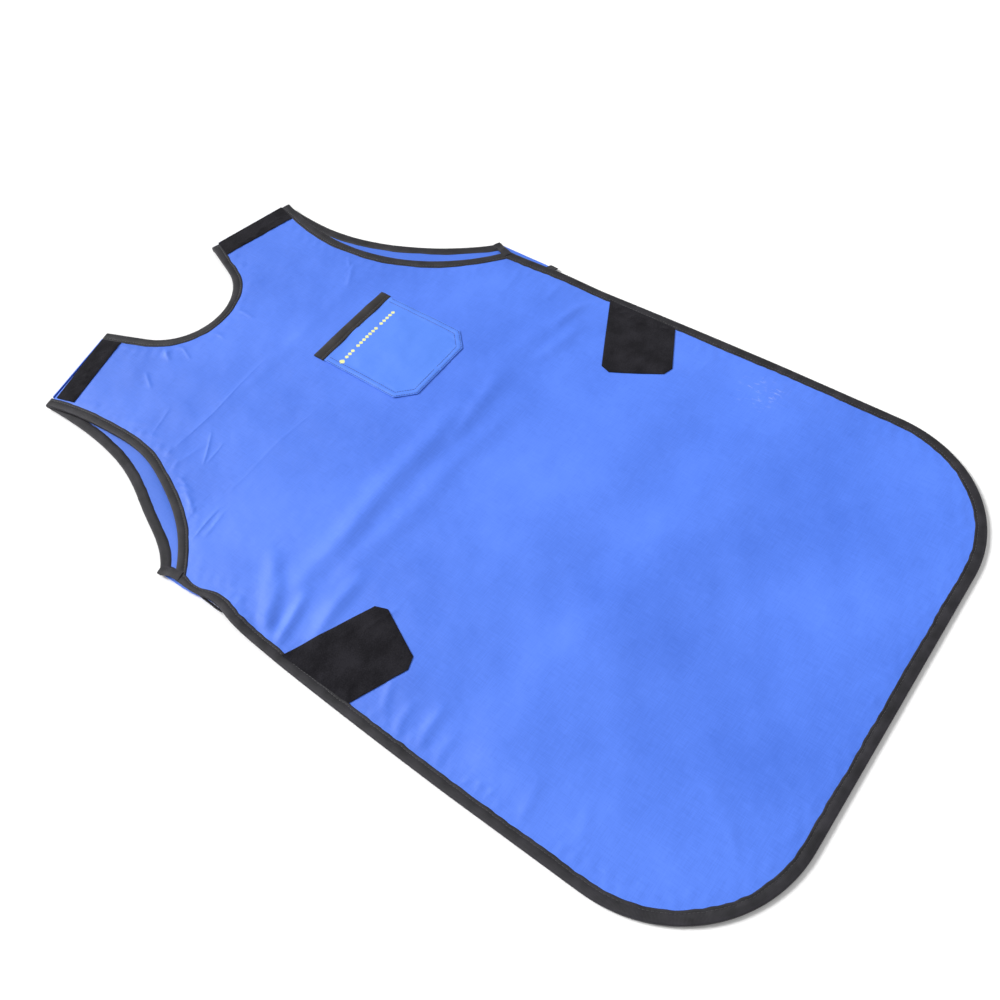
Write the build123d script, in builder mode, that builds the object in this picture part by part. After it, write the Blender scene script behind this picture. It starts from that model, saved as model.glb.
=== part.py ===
"""Front-protection lead apron with cross-over back wings, laid flat and face up, wings folded under.

Row frame: X across the apron (+X is the wearer's left), Y along it (+Y towards the neck), +Z up out of
the front. The origin is the centre of the outline, on the surface the apron lies on. Millimetres.
"""

import os
from math import asin, atan2, cos, degrees, radians, sin

from build123d import *

# ---- driving dimensions ----
apron_width = 600
apron_length = 1000

neck_tip = (91, 500)  # where the neckline meets the shoulder fold
neck_side = (70, 445)  # where the neckline's straight side runs into its round bottom
neck_bottom = (0, 397)
shoulder_tip = (211, 471)

armhole_waist = (192, 345)  # the narrowest point of the front, where the armhole runs along Y
underarm = (288, 156)
side_middle = (295, 0)
side_low = (apron_width / 2, -215)
corner_radius = 140

fold_y = -220  # lap fold between bodice and skirt
fold_gap = 0.6  # clear strip between the two at the fold
fold_axis_rise = 1.2  # fold axis above the bound edge, as the lead sheets bend round a soft radius

cloth = 0.4  # coated nylon
lead_sheet = 1.0  # lead-rubber
tape_width = 12  # binding tape, seen width
tape = 0.4
tape_lap = 1.0  # the tape's fold stands this far outside the layers it binds

wing_cloth = 0.5
arm_gap = 4.5  # space between the back wings and the front, where the arms and body go

yoke_waist = (207.5, 405)  # where the back armhole edge runs along Y
yoke_underarm = (290, 185)
seam_top = (297, 178)
seam_foot = (297, 90)
hinge_foot = (290, 90)  # lower end of the line that each wing swings about
seam_head = (281, 160)  # upper and lower inner corners of the seam's allowance
seam_waist = (281.5, 111)
seam_toe = (291, 90)
shoulder_fold = 3.0  # thickness of the folded cloth at the shoulder
hinge_gap = 0.4

strap_inner = (48, -150)  # corners of the wing's strap end
strap_outer = (134, -150)
strap_end_y = -165
strap_corner = 12
neck_edge_bow = (60, 190)  # a point on the wing's neck-side edge
lower_edge_bow = (178, -8)  # a point on the wing's lower edge

hook_pad_size = (56, 84)
hook_pad_centre = (91, -106)
hook_pad = 1.0

patch_width = 80
patch_angle = 25  # rise of the waist patch towards the side
patch_end = (202.8, -82.5)  # middle of the patch's inner end
patch_length = 120
patch_corner = 12
loop_tape = 1.2  # backing and pile

shoulder_strip_width = 25
shoulder_strip_inset = 5

pocket_low = (25, 103)
pocket_high = (148, 248)
pocket_corner = 20
pocket_depth = 5.0  # free height inside the open pocket
pocket_wall = 2.0
pocket_open_top = 4.0  # the side walls stop this far below the mouth's edge
pocket_mouth = 14  # height of the bound mouth
pocket_lift = 0.3  # clearance under the panel, which swings on its bottom seam
mark_size = (100, 8)
mark_centre = (82, 213)
mark = 0.1

# ---- heights ----
wing_sag = 2.1  # the yokes lie this high, so that an opened wing lies on the surface under them
wing_layers = 2 * wing_cloth
wing_height = wing_layers + 2 * tape
wing_top = wing_sag + wing_height

front_low = wing_top + arm_gap
front_layers = 2 * cloth + 2 * lead_sheet
front_height = front_layers + 2 * tape
slab_low = front_low + tape
slab_top = slab_low + front_layers
front_top = front_low + front_height

fold_axis_z = front_top + fold_axis_rise
skirt_length = apron_length / 2 + fold_y
skirt_slope = asin(front_low / skirt_length)

panel_low = slab_top + pocket_depth
panel_top = panel_low + cloth

# ---- edges of the left half, drawn inside a BuildLine ----
half_hem = -apron_length / 2
corner_centre = (side_low[0] - corner_radius, half_hem + corner_radius)
corner_middle = (
    corner_centre[0] + corner_radius * cos(radians(45)),
    corner_centre[1] - corner_radius * sin(radians(45)),
)
corner_top = (side_low[0], corner_centre[1])
corner_foot = (corner_centre[0], half_hem)

shoulder_run = Vector(*shoulder_tip) - Vector(*neck_tip)
along_shoulder = shoulder_run.normalized()
into_shoulder = Vector(along_shoulder.Y, -along_shoulder.X)  # from the fold line into the cloth


def shoulder_point(along, inside):
    """A point so far along the shoulder fold from the neck tip, and so far inside it."""
    return Vector(*neck_tip) + along_shoulder * along + into_shoulder * inside


yoke_neck = shoulder_point(0, shoulder_fold)
yoke_shoulder = shoulder_point(shoulder_run.length, shoulder_fold)


def mirrored(point):
    return (-point[0], point[1])


def neck_edge():
    Line(neck_tip, neck_side)
    ThreePointArc(neck_side, neck_bottom, mirrored(neck_side))
    Line(mirrored(neck_side), mirrored(neck_tip))


def armhole_edge():
    TangentArc(armhole_waist, shoulder_tip, tangent=(0, 1))
    TangentArc(armhole_waist, underarm, tangent=(0, -1))


def side_edge():
    ThreePointArc(underarm, side_middle, side_low)
    Line(side_low, corner_top)


def yoke_armhole_edge():
    TangentArc(yoke_waist, yoke_shoulder, tangent=(0, 1))
    TangentArc(yoke_waist, yoke_underarm, tangent=(0, -1))


def wing_neck_edge():
    ThreePointArc(yoke_neck, neck_edge_bow, strap_inner)


def wing_strap_edge():
    ThreePointArc(hinge_foot, lower_edge_bow, strap_outer)
    Line(strap_outer, (strap_outer[0] - strap_corner, strap_end_y))
    Line((strap_outer[0] - strap_corner, strap_end_y), (strap_inner[0] + strap_corner, strap_end_y))
    Line((strap_inner[0] + strap_corner, strap_end_y), strap_inner)


def strip_along(draw_edge, width):
    """The strip of that width on both sides of an edge; it is trimmed by the outline it is laid on."""
    with BuildSketch(mode=Mode.PRIVATE) as strip:
        with BuildLine():
            draw_edge()
        trace(line_width=2 * width)
    return strip.sketch


def straight_strip(start, end, width):
    """The strip of that width on both sides of a straight line."""
    run = Vector(*end) - Vector(*start)
    turn = degrees(atan2(run.Y, run.X))
    with BuildSketch(mode=Mode.PRIVATE) as strip:
        with Locations(Location(start, turn)):
            Rectangle(2 * run.length, 2 * width)
    return strip.sketch


# ---- outlines ----
with BuildSketch() as front_outline:
    with BuildLine():
        neck_edge()
        with BuildLine(mode=Mode.PRIVATE) as left_edges:
            Line(neck_tip, shoulder_tip)
            armhole_edge()
            side_edge()
            ThreePointArc(corner_top, corner_middle, corner_foot)
            Line(corner_foot, (0, half_hem))
        add(left_edges.line)
        mirror(left_edges.line, about=Plane.YZ)
    make_face()

with BuildSketch() as front_inside:
    add(front_outline.sketch)
    offset(amount=-tape_width)

with BuildSketch() as front_slab:
    add(front_outline.sketch)
    offset(amount=-tape_lap)
    add(straight_strip(shoulder_tip, neck_tip, shoulder_fold), mode=Mode.SUBTRACT)
    add(straight_strip(mirrored(shoulder_tip), mirrored(neck_tip), shoulder_fold), mode=Mode.SUBTRACT)

with BuildSketch() as bodice_side:
    with Locations((0, fold_y + fold_gap / 2)):
        Rectangle(2 * apron_width, apron_length, align=(Align.CENTER, Align.MIN))

with BuildSketch() as skirt_side:
    with Locations((0, fold_y - fold_gap / 2)):
        Rectangle(2 * apron_width, apron_length, align=(Align.CENTER, Align.MAX))

hinge_strip = straight_strip(hinge_foot, yoke_neck, hinge_gap / 2)

with BuildSketch() as yoke_outline:
    with BuildLine():
        Line(yoke_neck, yoke_shoulder)
        yoke_armhole_edge()
        Polyline(yoke_underarm, seam_top, seam_foot, hinge_foot, yoke_neck)
    make_face()
    add(hinge_strip, mode=Mode.SUBTRACT)

with BuildSketch() as wing_outline:
    with BuildLine():
        wing_neck_edge()
        wing_strap_edge()
        Line(hinge_foot, yoke_neck)
    make_face()
    add(hinge_strip, mode=Mode.SUBTRACT)


def slab_of(outline, *bound_edges):
    """The cut size of the cloth: the outline less the tape's fold along each bound edge."""
    with BuildSketch(mode=Mode.PRIVATE) as slab:
        add(outline.sketch)
        for draw_edge in bound_edges:
            add(strip_along(draw_edge, tape_lap), mode=Mode.SUBTRACT)
    return slab.sketch


def tape_of(outline, draw_edge, *crossed_edges):
    """The tape's footprint along an edge, less what other tapes already cover."""
    with BuildSketch(mode=Mode.PRIVATE) as footprint:
        add(strip_along(draw_edge, tape_width))
        add(outline.sketch, mode=Mode.INTERSECT)
        for other_edge in crossed_edges:
            add(strip_along(other_edge, tape_width), mode=Mode.SUBTRACT)
    return footprint.sketch


yoke_slab = slab_of(yoke_outline, yoke_armhole_edge)
wing_slab = slab_of(wing_outline, wing_neck_edge, wing_strap_edge)


# ---- planes ----
def flat_plane(height):
    return Plane.XY.offset(height)


def skirt_plane(height):
    """Parallel to the skirt, which slopes from the fold down to its hem; height 0 is its underside."""
    fall = sin(skirt_slope) / cos(skirt_slope)
    underside = Plane(
        origin=(0, 0, front_low - fall * fold_y),
        x_dir=(1, 0, 0),
        z_dir=(0, -sin(skirt_slope), cos(skirt_slope)),
    )
    return underside.offset(height)


def wing_plane(height):
    """Parallel to the left wing, which slopes from its hinge line down to its strap end."""
    run = (Vector(*hinge_foot) - yoke_neck).normalized()
    outward = Vector(-run.Y, run.X)  # level, across the hinge line, away from the wing
    reach = -outward.dot(Vector(*strap_inner) - yoke_neck)
    fall = wing_sag / reach
    slope = outward * fall
    underside = Plane(
        origin=(0, 0, wing_sag - slope.dot(yoke_neck)),
        x_dir=(1, 0, slope.X),
        z_dir=(-slope.X, -slope.Y, 1),
    )
    return underside.offset(height)


finished = []


def finish(piece, label):
    piece.part.label = label
    finished.append(piece.part)


def layer(label, sketch, plane, thickness):
    """One flat layer of sheet material."""
    with BuildPart() as sheet:
        with BuildSketch(plane):
            add(sketch)
        extrude(amount=thickness)
    finish(sheet, label)


def bound_edge(label, footprint, slab, plane_at, low, height):
    """A binding tape, folded round the edge of the layers that lie between its two faces."""
    with BuildPart() as binding:
        with BuildSketch(plane_at(low)):
            add(footprint)
        extrude(amount=height)
        with BuildSketch(plane_at(low + tape)):
            add(slab)
        extrude(amount=height - 2 * tape, mode=Mode.SUBTRACT)
    finish(binding, label)


def part_of(outline, side):
    with BuildSketch(mode=Mode.PRIVATE) as cut:
        add(outline)
        add(side.sketch, mode=Mode.INTERSECT)
    return cut.sketch


# ---- front: bodice and skirt, each a cover, two lead sheets and a lining ----
front_stack = [
    ("lining", 0, cloth),
    ("back_lead_sheet", cloth, lead_sheet),
    ("front_lead_sheet", cloth + lead_sheet, lead_sheet),
    ("cover", cloth + 2 * lead_sheet, cloth),
]
bodice_slab = part_of(front_slab.sketch, bodice_side)
skirt_slab = part_of(front_slab.sketch, skirt_side)
for layer_name, low, thickness in front_stack:
    layer("bodice_" + layer_name, bodice_slab, flat_plane(slab_low + low), thickness)
    layer("skirt_" + layer_name, skirt_slab, skirt_plane(tape + low), thickness)

bound_edge(
    "neck_binding", tape_of(front_outline, neck_edge), front_slab.sketch, flat_plane, front_low, front_height
)
bound_edge(
    "left_armhole_binding",
    tape_of(front_outline, armhole_edge),
    front_slab.sketch,
    flat_plane,
    front_low,
    front_height,
)
with BuildSketch() as left_side_tape:
    add(tape_of(front_outline, side_edge, armhole_edge))
    add(bodice_side.sketch, mode=Mode.INTERSECT)
bound_edge(
    "left_side_binding", left_side_tape.sketch, front_slab.sketch, flat_plane, front_low, front_height
)
with BuildSketch() as hem_tape:
    add(front_outline.sketch)
    add(front_inside.sketch, mode=Mode.SUBTRACT)
    add(skirt_side.sketch, mode=Mode.INTERSECT)
bound_edge("hem_binding", hem_tape.sketch, front_slab.sketch, skirt_plane, 0, front_height)

# ---- shoulder folds: the cloth that runs over the shoulder from the front to the back wing ----
with BuildPart() as left_shoulder_fold:
    with BuildSketch():
        with BuildLine():
            Polyline(
                shoulder_point(tape_width + 1, 0),
                shoulder_point(shoulder_run.length - tape_width - 1, 0),
                shoulder_point(shoulder_run.length - tape_width - 1, shoulder_fold),
                shoulder_point(tape_width + 1, shoulder_fold),
                close=True,
            )
        make_face()
    extrude(amount=slab_top)
finish(left_shoulder_fold, "left_shoulder_fold")

# ---- underarm seams: where the back wing is sewn to the front's side ----
with BuildPart() as left_side_seam:
    with BuildSketch(Plane.XY.offset(wing_sag + tape + wing_layers)):
        with BuildLine():
            Polyline(seam_head, yoke_underarm, seam_top, seam_foot, seam_toe, seam_waist, close=True)
        make_face()
    extrude(amount=front_low - wing_sag - tape - wing_layers)
finish(left_side_seam, "left_side_seam")

# ---- back wings: the yoke stays with the bodice, the rest swings ----
layer("left_yoke_cover", yoke_slab, flat_plane(wing_sag + tape), wing_cloth)
layer("left_yoke_lining", yoke_slab, flat_plane(wing_sag + tape + wing_cloth), wing_cloth)
bound_edge(
    "left_yoke_binding",
    tape_of(yoke_outline, yoke_armhole_edge),
    yoke_slab,
    flat_plane,
    wing_sag,
    wing_height,
)
layer("left_wing_cover", wing_slab, wing_plane(tape), wing_cloth)
layer("left_wing_lining", wing_slab, wing_plane(tape + wing_cloth), wing_cloth)
bound_edge(
    "left_wing_neck_binding", tape_of(wing_outline, wing_neck_edge), wing_slab, wing_plane, 0, wing_height
)
bound_edge(
    "left_wing_strap_binding",
    tape_of(wing_outline, wing_strap_edge, wing_neck_edge),
    wing_slab,
    wing_plane,
    0,
    wing_height,
)
with BuildPart() as left_hook_pad:
    with BuildSketch(wing_plane(tape + wing_layers)):
        with Locations(hook_pad_centre):
            hook_outline = Rectangle(*hook_pad_size)
        chamfer(hook_outline.vertices(), strap_corner / 2)
    extrude(amount=hook_pad)
finish(left_hook_pad, "left_hook_pad")

# ---- loop tape on the front: waist patches and shoulder strips ----
with BuildPart() as left_waist_patch:
    with BuildSketch(Plane.XY.offset(slab_top)):
        with Locations(Location(patch_end, patch_angle)):
            patch = Rectangle(patch_length, patch_width, align=(Align.MIN, Align.CENTER))
        chamfer(patch.vertices().sort_by(Axis.X)[:2], patch_corner)
        add(front_inside.sketch, mode=Mode.INTERSECT)
    extrude(amount=loop_tape)
finish(left_waist_patch, "left_waist_patch")

with BuildPart() as left_shoulder_strip:
    with BuildSketch(Plane.XY.offset(slab_top)):
        with BuildLine():
            Polyline(
                shoulder_point(-tape_width, shoulder_strip_inset),
                shoulder_point(shoulder_run.length + tape_width, shoulder_strip_inset),
                shoulder_point(
                    shoulder_run.length + tape_width, shoulder_strip_inset + shoulder_strip_width
                ),
                shoulder_point(-tape_width, shoulder_strip_inset + shoulder_strip_width),
                close=True,
            )
        make_face()
        add(front_outline.sketch, mode=Mode.INTERSECT)
        add(strip_along(neck_edge, tape_width), mode=Mode.SUBTRACT)
        add(strip_along(armhole_edge, tape_width), mode=Mode.SUBTRACT)
    extrude(amount=loop_tape)
finish(left_shoulder_strip, "left_shoulder_strip")

# ---- the right half repeats the left ----
for left_part in list(finished):
    if left_part.label.startswith("left_"):
        with BuildPart() as right:
            mirror(left_part, about=Plane.YZ)
        finish(right, left_part.label.replace("left_", "right_"))

# ---- chest pocket, on the wearer's left ----
pocket_size = (pocket_high[0] - pocket_low[0], pocket_high[1] - pocket_low[1])
with BuildSketch() as pocket_outline:
    with Locations(pocket_low):
        pocket_shape = Rectangle(*pocket_size, align=Align.MIN)
    chamfer(pocket_shape.vertices().group_by(Axis.Y)[0], pocket_corner)

with BuildPart() as pocket_seam:
    with BuildSketch(Plane.XY.offset(slab_top)) as seam_outline:
        add(pocket_outline.sketch)
        with BuildSketch(mode=Mode.PRIVATE) as pocket_inside:
            add(pocket_outline.sketch)
            offset(amount=-pocket_wall, kind=Kind.INTERSECTION)
        add(pocket_inside.sketch, mode=Mode.SUBTRACT)
        with Locations((pocket_low[0] + pocket_wall, pocket_high[1] - pocket_open_top)):
            Rectangle(
                pocket_size[0] - 2 * pocket_wall, pocket_mouth, align=Align.MIN, mode=Mode.SUBTRACT
            )
    extrude(amount=pocket_depth - pocket_lift - tape)
finish(pocket_seam, "pocket_seam")

with BuildPart() as pocket_panel:
    with BuildSketch(Plane.XY.offset(panel_low)):
        add(pocket_outline.sketch)
    extrude(amount=cloth)
finish(pocket_panel, "pocket_panel")

with BuildPart() as pocket_mouth_binding:
    with BuildSketch(Plane.XY.offset(panel_low - tape)):
        with Locations((pocket_low[0], pocket_high[1] - pocket_mouth)):
            Rectangle(pocket_size[0], pocket_mouth + tape_lap, align=Align.MIN)
    extrude(amount=cloth + 2 * tape)
    with BuildSketch(Plane.XY.offset(panel_low)):
        add(pocket_outline.sketch)
    extrude(amount=cloth, mode=Mode.SUBTRACT)
finish(pocket_mouth_binding, "pocket_mouth_binding")

with BuildPart() as pocket_mark:
    with BuildSketch(Plane.XY.offset(panel_top)):
        with Locations(mark_centre):
            Rectangle(*mark_size)
    extrude(amount=mark)
finish(pocket_mark, "pocket_mark")

# ---- files ----
os.makedirs("parts", exist_ok=True)
for part in finished:
    export_step(part, f"parts/{part.label}.step")
print(len(finished), "pieces")
print("lap fold axis height", round(fold_axis_z, 3))
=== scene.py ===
"""The lead apron's visual model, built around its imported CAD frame.

Lengths in the pattern are millimetres: X across the apron (+X is the wearer's left), Y towards the neck.
Meshes are in metres.
"""

import math

import bmesh
import bpy
import numpy as np
from mathutils import Matrix, Vector
from mathutils.geometry import delaunay_2d_cdt


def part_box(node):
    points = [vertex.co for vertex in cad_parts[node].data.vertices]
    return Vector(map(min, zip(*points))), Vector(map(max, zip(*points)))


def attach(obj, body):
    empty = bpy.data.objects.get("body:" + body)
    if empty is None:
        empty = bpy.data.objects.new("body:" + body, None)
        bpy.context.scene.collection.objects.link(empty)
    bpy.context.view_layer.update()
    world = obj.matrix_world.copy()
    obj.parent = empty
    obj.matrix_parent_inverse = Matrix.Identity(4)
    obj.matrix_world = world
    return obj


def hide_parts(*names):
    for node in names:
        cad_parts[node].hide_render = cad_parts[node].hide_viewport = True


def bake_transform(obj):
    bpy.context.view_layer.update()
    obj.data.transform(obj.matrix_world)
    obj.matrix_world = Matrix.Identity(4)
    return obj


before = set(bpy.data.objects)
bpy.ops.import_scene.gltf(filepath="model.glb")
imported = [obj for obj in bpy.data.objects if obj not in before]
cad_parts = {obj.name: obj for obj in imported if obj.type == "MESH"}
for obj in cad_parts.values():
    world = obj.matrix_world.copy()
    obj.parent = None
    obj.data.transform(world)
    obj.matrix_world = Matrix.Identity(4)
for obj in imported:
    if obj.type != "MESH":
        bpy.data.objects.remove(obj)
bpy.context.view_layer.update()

MM = 0.001


# ---------------------------------------------------------------- the cut pattern
def corner_mm(node, high, axis):
    """One coordinate of a CAD node's box, in millimetres."""
    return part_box(node)[high][axis] / MM


half_width = corner_mm("hem_binding", 1, 0)
hem_y = corner_mm("hem_binding", 0, 1)
fold_y = corner_mm("skirt_cover", 1, 1)
neck_tip = np.array([91, corner_mm("neck_binding", 1, 1)])
neck_side = np.array([70, 445])
neck_bottom = np.array([0, 397])
shoulder_tip = np.array([211, 471])
armhole_waist = np.array([192, 345])
underarm = np.array([288, 156])
side_middle = np.array([295, 0])
side_low = np.array([half_width, -215])
corner_radius = 140

yoke_waist = np.array([207.5, 405])
yoke_underarm = np.array([290, 185])
seam_top = np.array([299.5, 177])
seam_foot = np.array([299, 90])
hinge_foot = np.array([290, 90])
shoulder_fold = 3
strap_inner = np.array([48, -150])
strap_outer = np.array([134, -150])
strap_end_y = -165
strap_corner = 12
neck_edge_bow = np.array([60, 190])
lower_edge_bow = np.array([178, -8])

cloth = 0.5
lead = 1.0
gap = 0.06
stack = 2 * cloth + 2 * lead + 3 * gap
wing_stack = 2 * cloth + gap
edge_inset = 1.9
wing_rest = 2.0
yoke_rise = 0.8
strap_rest = 1.08
edge_rest = 1.0
wings_below = 4.2
tape_width = 12

along_shoulder = (shoulder_tip - neck_tip) / np.linalg.norm(shoulder_tip - neck_tip)
into_shoulder = np.array([along_shoulder[1], -along_shoulder[0]])
yoke_neck = neck_tip + into_shoulder * shoulder_fold
yoke_shoulder = shoulder_tip + into_shoulder * shoulder_fold
hinge_run = (hinge_foot - yoke_neck) / np.linalg.norm(hinge_foot - yoke_neck)
hinge_inboard = np.array([hinge_run[1], -hinge_run[0]])
strap_reach = (strap_inner - yoke_neck) @ hinge_inboard
STEP = 3.5  # spacing of points along an outline
FRONT_STEP = 4.1  # sizes of the triangles in the front, the back wings, the patches and the hooks
BACK_STEP = 5
PATCH_STEP = 1.9
HOOK_STEP = 1.5
PATCH_EDGE_STEP = 1.6
FOLD_MESH = (-32, 12)  # from here to here about the lap fold, along Y, the sheets have finer rows
FOLD_TAPE = (-36, 16)  # and the edge tape has finer rings
EDGE_TAPE_LAP = 1225  # along the edge tape, where its two ends overlap
CHUNK = 4000  # points compared at once, to save memory
SHARP = math.radians(65)  # a rim that turns more than this is drawn crisp
TUCK = 7.5  # how far the right back wing is drawn in at its foot


def ramp(v, start, end):
    """0 before start, 1 after end, smooth between them."""
    t = np.clip((v - start) / (end - start), 0, 1)
    return t * t * (3 - 2 * t)


def ridge(v, centre, width):
    return np.exp(-(((v - centre) / width) ** 2))


def heading_of(degrees):
    """The unit vector at that angle from X."""
    turn = math.radians(degrees)
    return np.array([math.cos(turn), math.sin(turn)])


def turned(v):
    """A quarter turn clockwise: the side that a clockwise outline keeps inside."""
    return np.array([v[..., 1], -v[..., 0]]).T if v.ndim > 1 else np.array([v[1], -v[0]])


def line(a, b):
    n = max(2, math.ceil(np.linalg.norm(b - a) / STEP) + 1)
    return a + (b - a) * np.linspace(0, 1, n)[:, None]


def arc_through(a, m, b):
    """The circle's arc from a to b through m."""
    (ax, ay), (bx, by), (cx, cy) = a, m, b
    d = 2 * (ax * (by - cy) + bx * (cy - ay) + cx * (ay - by))
    sq = [p @ p for p in (a, m, b)]
    centre = np.array(
        [
            (sq[0] * (by - cy) + sq[1] * (cy - ay) + sq[2] * (ay - by)) / d,
            (sq[0] * (cx - bx) + sq[1] * (ax - cx) + sq[2] * (bx - ax)) / d,
        ]
    )
    angles = [math.atan2(*(p - centre)[::-1]) for p in (a, m, b)]
    spread = np.unwrap(angles)
    radius = np.linalg.norm(a - centre)
    n = max(3, math.ceil(abs(spread[2] - spread[0]) * radius / STEP) + 1)
    t = np.linspace(spread[0], spread[2], n)
    return centre + radius * np.column_stack([np.cos(t), np.sin(t)])


def tangent_arc(a, b, heading):
    """The arc from a to b that leaves a along heading."""
    heading = np.array(heading, float)
    chord = b - a
    side = turned(heading)
    across = chord @ side
    radius = chord @ chord / (2 * across)
    centre = a + side * radius
    middle = centre + (a + chord / 2 - centre) / np.linalg.norm(a + chord / 2 - centre) * abs(radius)
    return arc_through(a, middle, b)


def joined(*paths):
    out = [paths[0]]
    for path in paths[1:]:
        out.append(path[1:])
    return np.concatenate(out)


def length_along(path):
    """The length of the path up to each of its points."""
    return np.concatenate([[0], np.cumsum(np.linalg.norm(np.diff(path, axis=0), axis=1))])


def spaced(path, step=STEP):
    """The path again, with points evenly spaced."""
    run = length_along(path)
    at = np.linspace(0, run[-1], max(2, round(run[-1] / step) + 1))
    return np.column_stack([np.interp(at, run, path[:, k]) for k in range(path.shape[1])])


def softened(path, step=STEP, passes=3):
    """The path evenly spaced, with its corners a little rounded and its ends kept."""
    path = spaced(path, step)
    for _ in range(passes):
        path[1:-1] = (path[:-2] + 2 * path[1:-1] + path[2:]) / 4
    return path


def looped(path):
    """The path with its first point again at its end."""
    return np.concatenate([path, path[:1]])


def flip(path):
    """The path on the other half of the apron, still clockwise."""
    return path[::-1] * [-1, 1]


def as_laid(path, tuck=0):
    """The path as it lies: the arm openings sit to the right, the right one bowed out and drawn in below."""
    x, y = path[:, 0], path[:, 1]
    shift = 3 * ridge(y, 375, 85) * ramp(np.abs(x), 120, 180)
    pinch = 5.5 * ridge(y, 100, 22) + 1.5 * ridge(y, 90, 45) + tuck * ramp(y, 55, 88)
    bow = 4.5 * ridge(y, 250, 50) * ramp(-x, 150, 205)
    return np.column_stack([x - shift - bow + pinch * ramp(-x, 235, 285), y])


corner_centre = np.array([half_width - corner_radius, hem_y + corner_radius])
corner_middle = corner_centre + corner_radius * math.sqrt(0.5) * np.array([1, -1])

neck_half = joined(arc_through(neck_side * [-1, 1], neck_bottom, neck_side))
neck_path = joined(line(yoke_neck * [-1, 1], neck_side * [-1, 1]), neck_half, line(neck_side, yoke_neck))
armhole_path = joined(
    tangent_arc(armhole_waist, yoke_shoulder, (0, 1))[::-1], tangent_arc(armhole_waist, underarm, (0, -1))
)
side_path = joined(
    arc_through(underarm, side_middle, side_low),
    line(side_low, corner_centre + [corner_radius, 0]),
    arc_through(corner_centre + [corner_radius, 0], corner_middle, corner_centre - [0, corner_radius]),
    line(corner_centre - [0, corner_radius], np.array([0, hem_y])),
)
hem_path = as_laid(joined(side_path, flip(side_path)))
front_path = as_laid(joined(
    neck_path,
    line(yoke_neck, yoke_shoulder),
    armhole_path,
    side_path,
    flip(side_path),
    flip(armhole_path),
    line(yoke_shoulder * [-1, 1], yoke_neck * [-1, 1]),
))[:-1]

yoke_path = joined(
    tangent_arc(yoke_waist, yoke_shoulder, (0, 1))[::-1],
    tangent_arc(yoke_waist, yoke_underarm, (0, -1)),
)
wing_neck_path = arc_through(strap_inner, neck_edge_bow, yoke_neck)
wing_strap_path = joined(
    arc_through(hinge_foot, lower_edge_bow, strap_outer),
    line(strap_outer, np.array([strap_outer[0] - strap_corner, strap_end_y])),
    line(np.array([strap_outer[0] - strap_corner, strap_end_y]),
         np.array([strap_inner[0] + strap_corner, strap_end_y])),
    line(np.array([strap_inner[0] + strap_corner, strap_end_y]), strap_inner),
)
back_path = joined(
    line(yoke_neck, yoke_shoulder),
    yoke_path,
    line(yoke_underarm, seam_top),
    line(seam_top, seam_foot),
    line(seam_foot, hinge_foot),
    wing_strap_path,
    wing_neck_path,
)[:-1]


# ---------------------------------------------------------------- how the apron lies
def waves(x, y, length, seed, count=7):
    """Smooth seeded ripples, about as long as length, between about -1 and 1."""
    rng = np.random.default_rng(seed)
    total = 0 * x
    for _ in range(count):
        angle = rng.uniform(0, math.pi)
        size = length * rng.uniform(0.7, 1.5)
        total = total + np.sin(
            2 * math.pi * (x * math.cos(angle) + y * math.sin(angle)) / size + rng.uniform(0, 2 * math.pi)
        )
    return total / math.sqrt(count)


storage_folds = [  # (where along Y, height, width towards the neck, width towards the hem, how far out)
    (285, 0.55, 9, 9, 205), (186, 0.15, 10, 10, 150), (-116, 0.35, 14, 14, 285), (-238, 4.8, 36, 85, 300),
]


def front_low(x, y):
    """Height of the front's underside: on the floor along the skirt, on the back wings above it."""
    across = np.abs(x)
    over_wings = ramp(y, -235, -130)
    middle = 1 - ramp(across, 215, 292)
    shoulders = ramp(y, 5, 85)
    height = edge_rest + wings_below * over_wings * np.maximum(middle, shoulders)
    away = (1 - ramp(across, 235, 290)) * ramp(y, -495, -420) * (1 - ramp(y, 330, 400))
    height = height + away * (0.8 * (1 + 0.6 * waves(x, y, 260, 3)) + 0.25 * (1 + waves(x, y, 110, 4)))
    for at, rise, above, below, reach in storage_folds:
        wander = 4 * np.sin(x / 70 + at)
        share = 1 - ramp(across, reach - 60, reach)
        height = height + rise * ridge(y + wander, at, np.where(y + wander > at, above, below)) * share
    lifted = ramp(-x, 258, 292) * ridge(y, 40, 42)
    return height + lifted * (2.3 + 1.1 * np.sin(y / 9))


def front_high(x, y):
    return front_low(x, y) + stack


def wing_floor(x, y):
    """Height of a back wing's underside; it slopes down from its hinge line."""
    inboard = (np.abs(x) - yoke_neck[0]) * hinge_inboard[0] + (y - yoke_neck[1]) * hinge_inboard[1]
    fall = (wing_rest - strap_rest) / strap_reach
    raised = yoke_rise * ramp(-inboard, 1, 12)
    return wing_rest + raised - fall * np.maximum(inboard, 0) + 0.08 * waves(x, y, 60, 11)


# ---------------------------------------------------------------- mesh making
def inside(points, loop):
    """Which points lie inside a closed loop."""
    a, b = loop, np.roll(loop, -1, 0)
    within = np.zeros(len(points), bool)
    for (ax, ay), (bx, by) in zip(a, b, strict=True):
        if ay == by:
            continue
        crossed = (points[:, 1] > min(ay, by)) & (points[:, 1] <= max(ay, by))
        at = ax + (points[:, 1] - ay) * (bx - ax) / (by - ay)
        within ^= crossed & (points[:, 0] < at)
    return within


def edge_distance(points, path):
    """How far each point is from a path given by close points."""
    out = np.empty(len(points))
    for start in range(0, len(points), CHUNK):
        part = points[start : start + CHUNK]
        out[start : start + CHUNK] = np.sqrt(((part[:, None] - path[None]) ** 2).sum(2).min(1))
    return out


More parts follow.
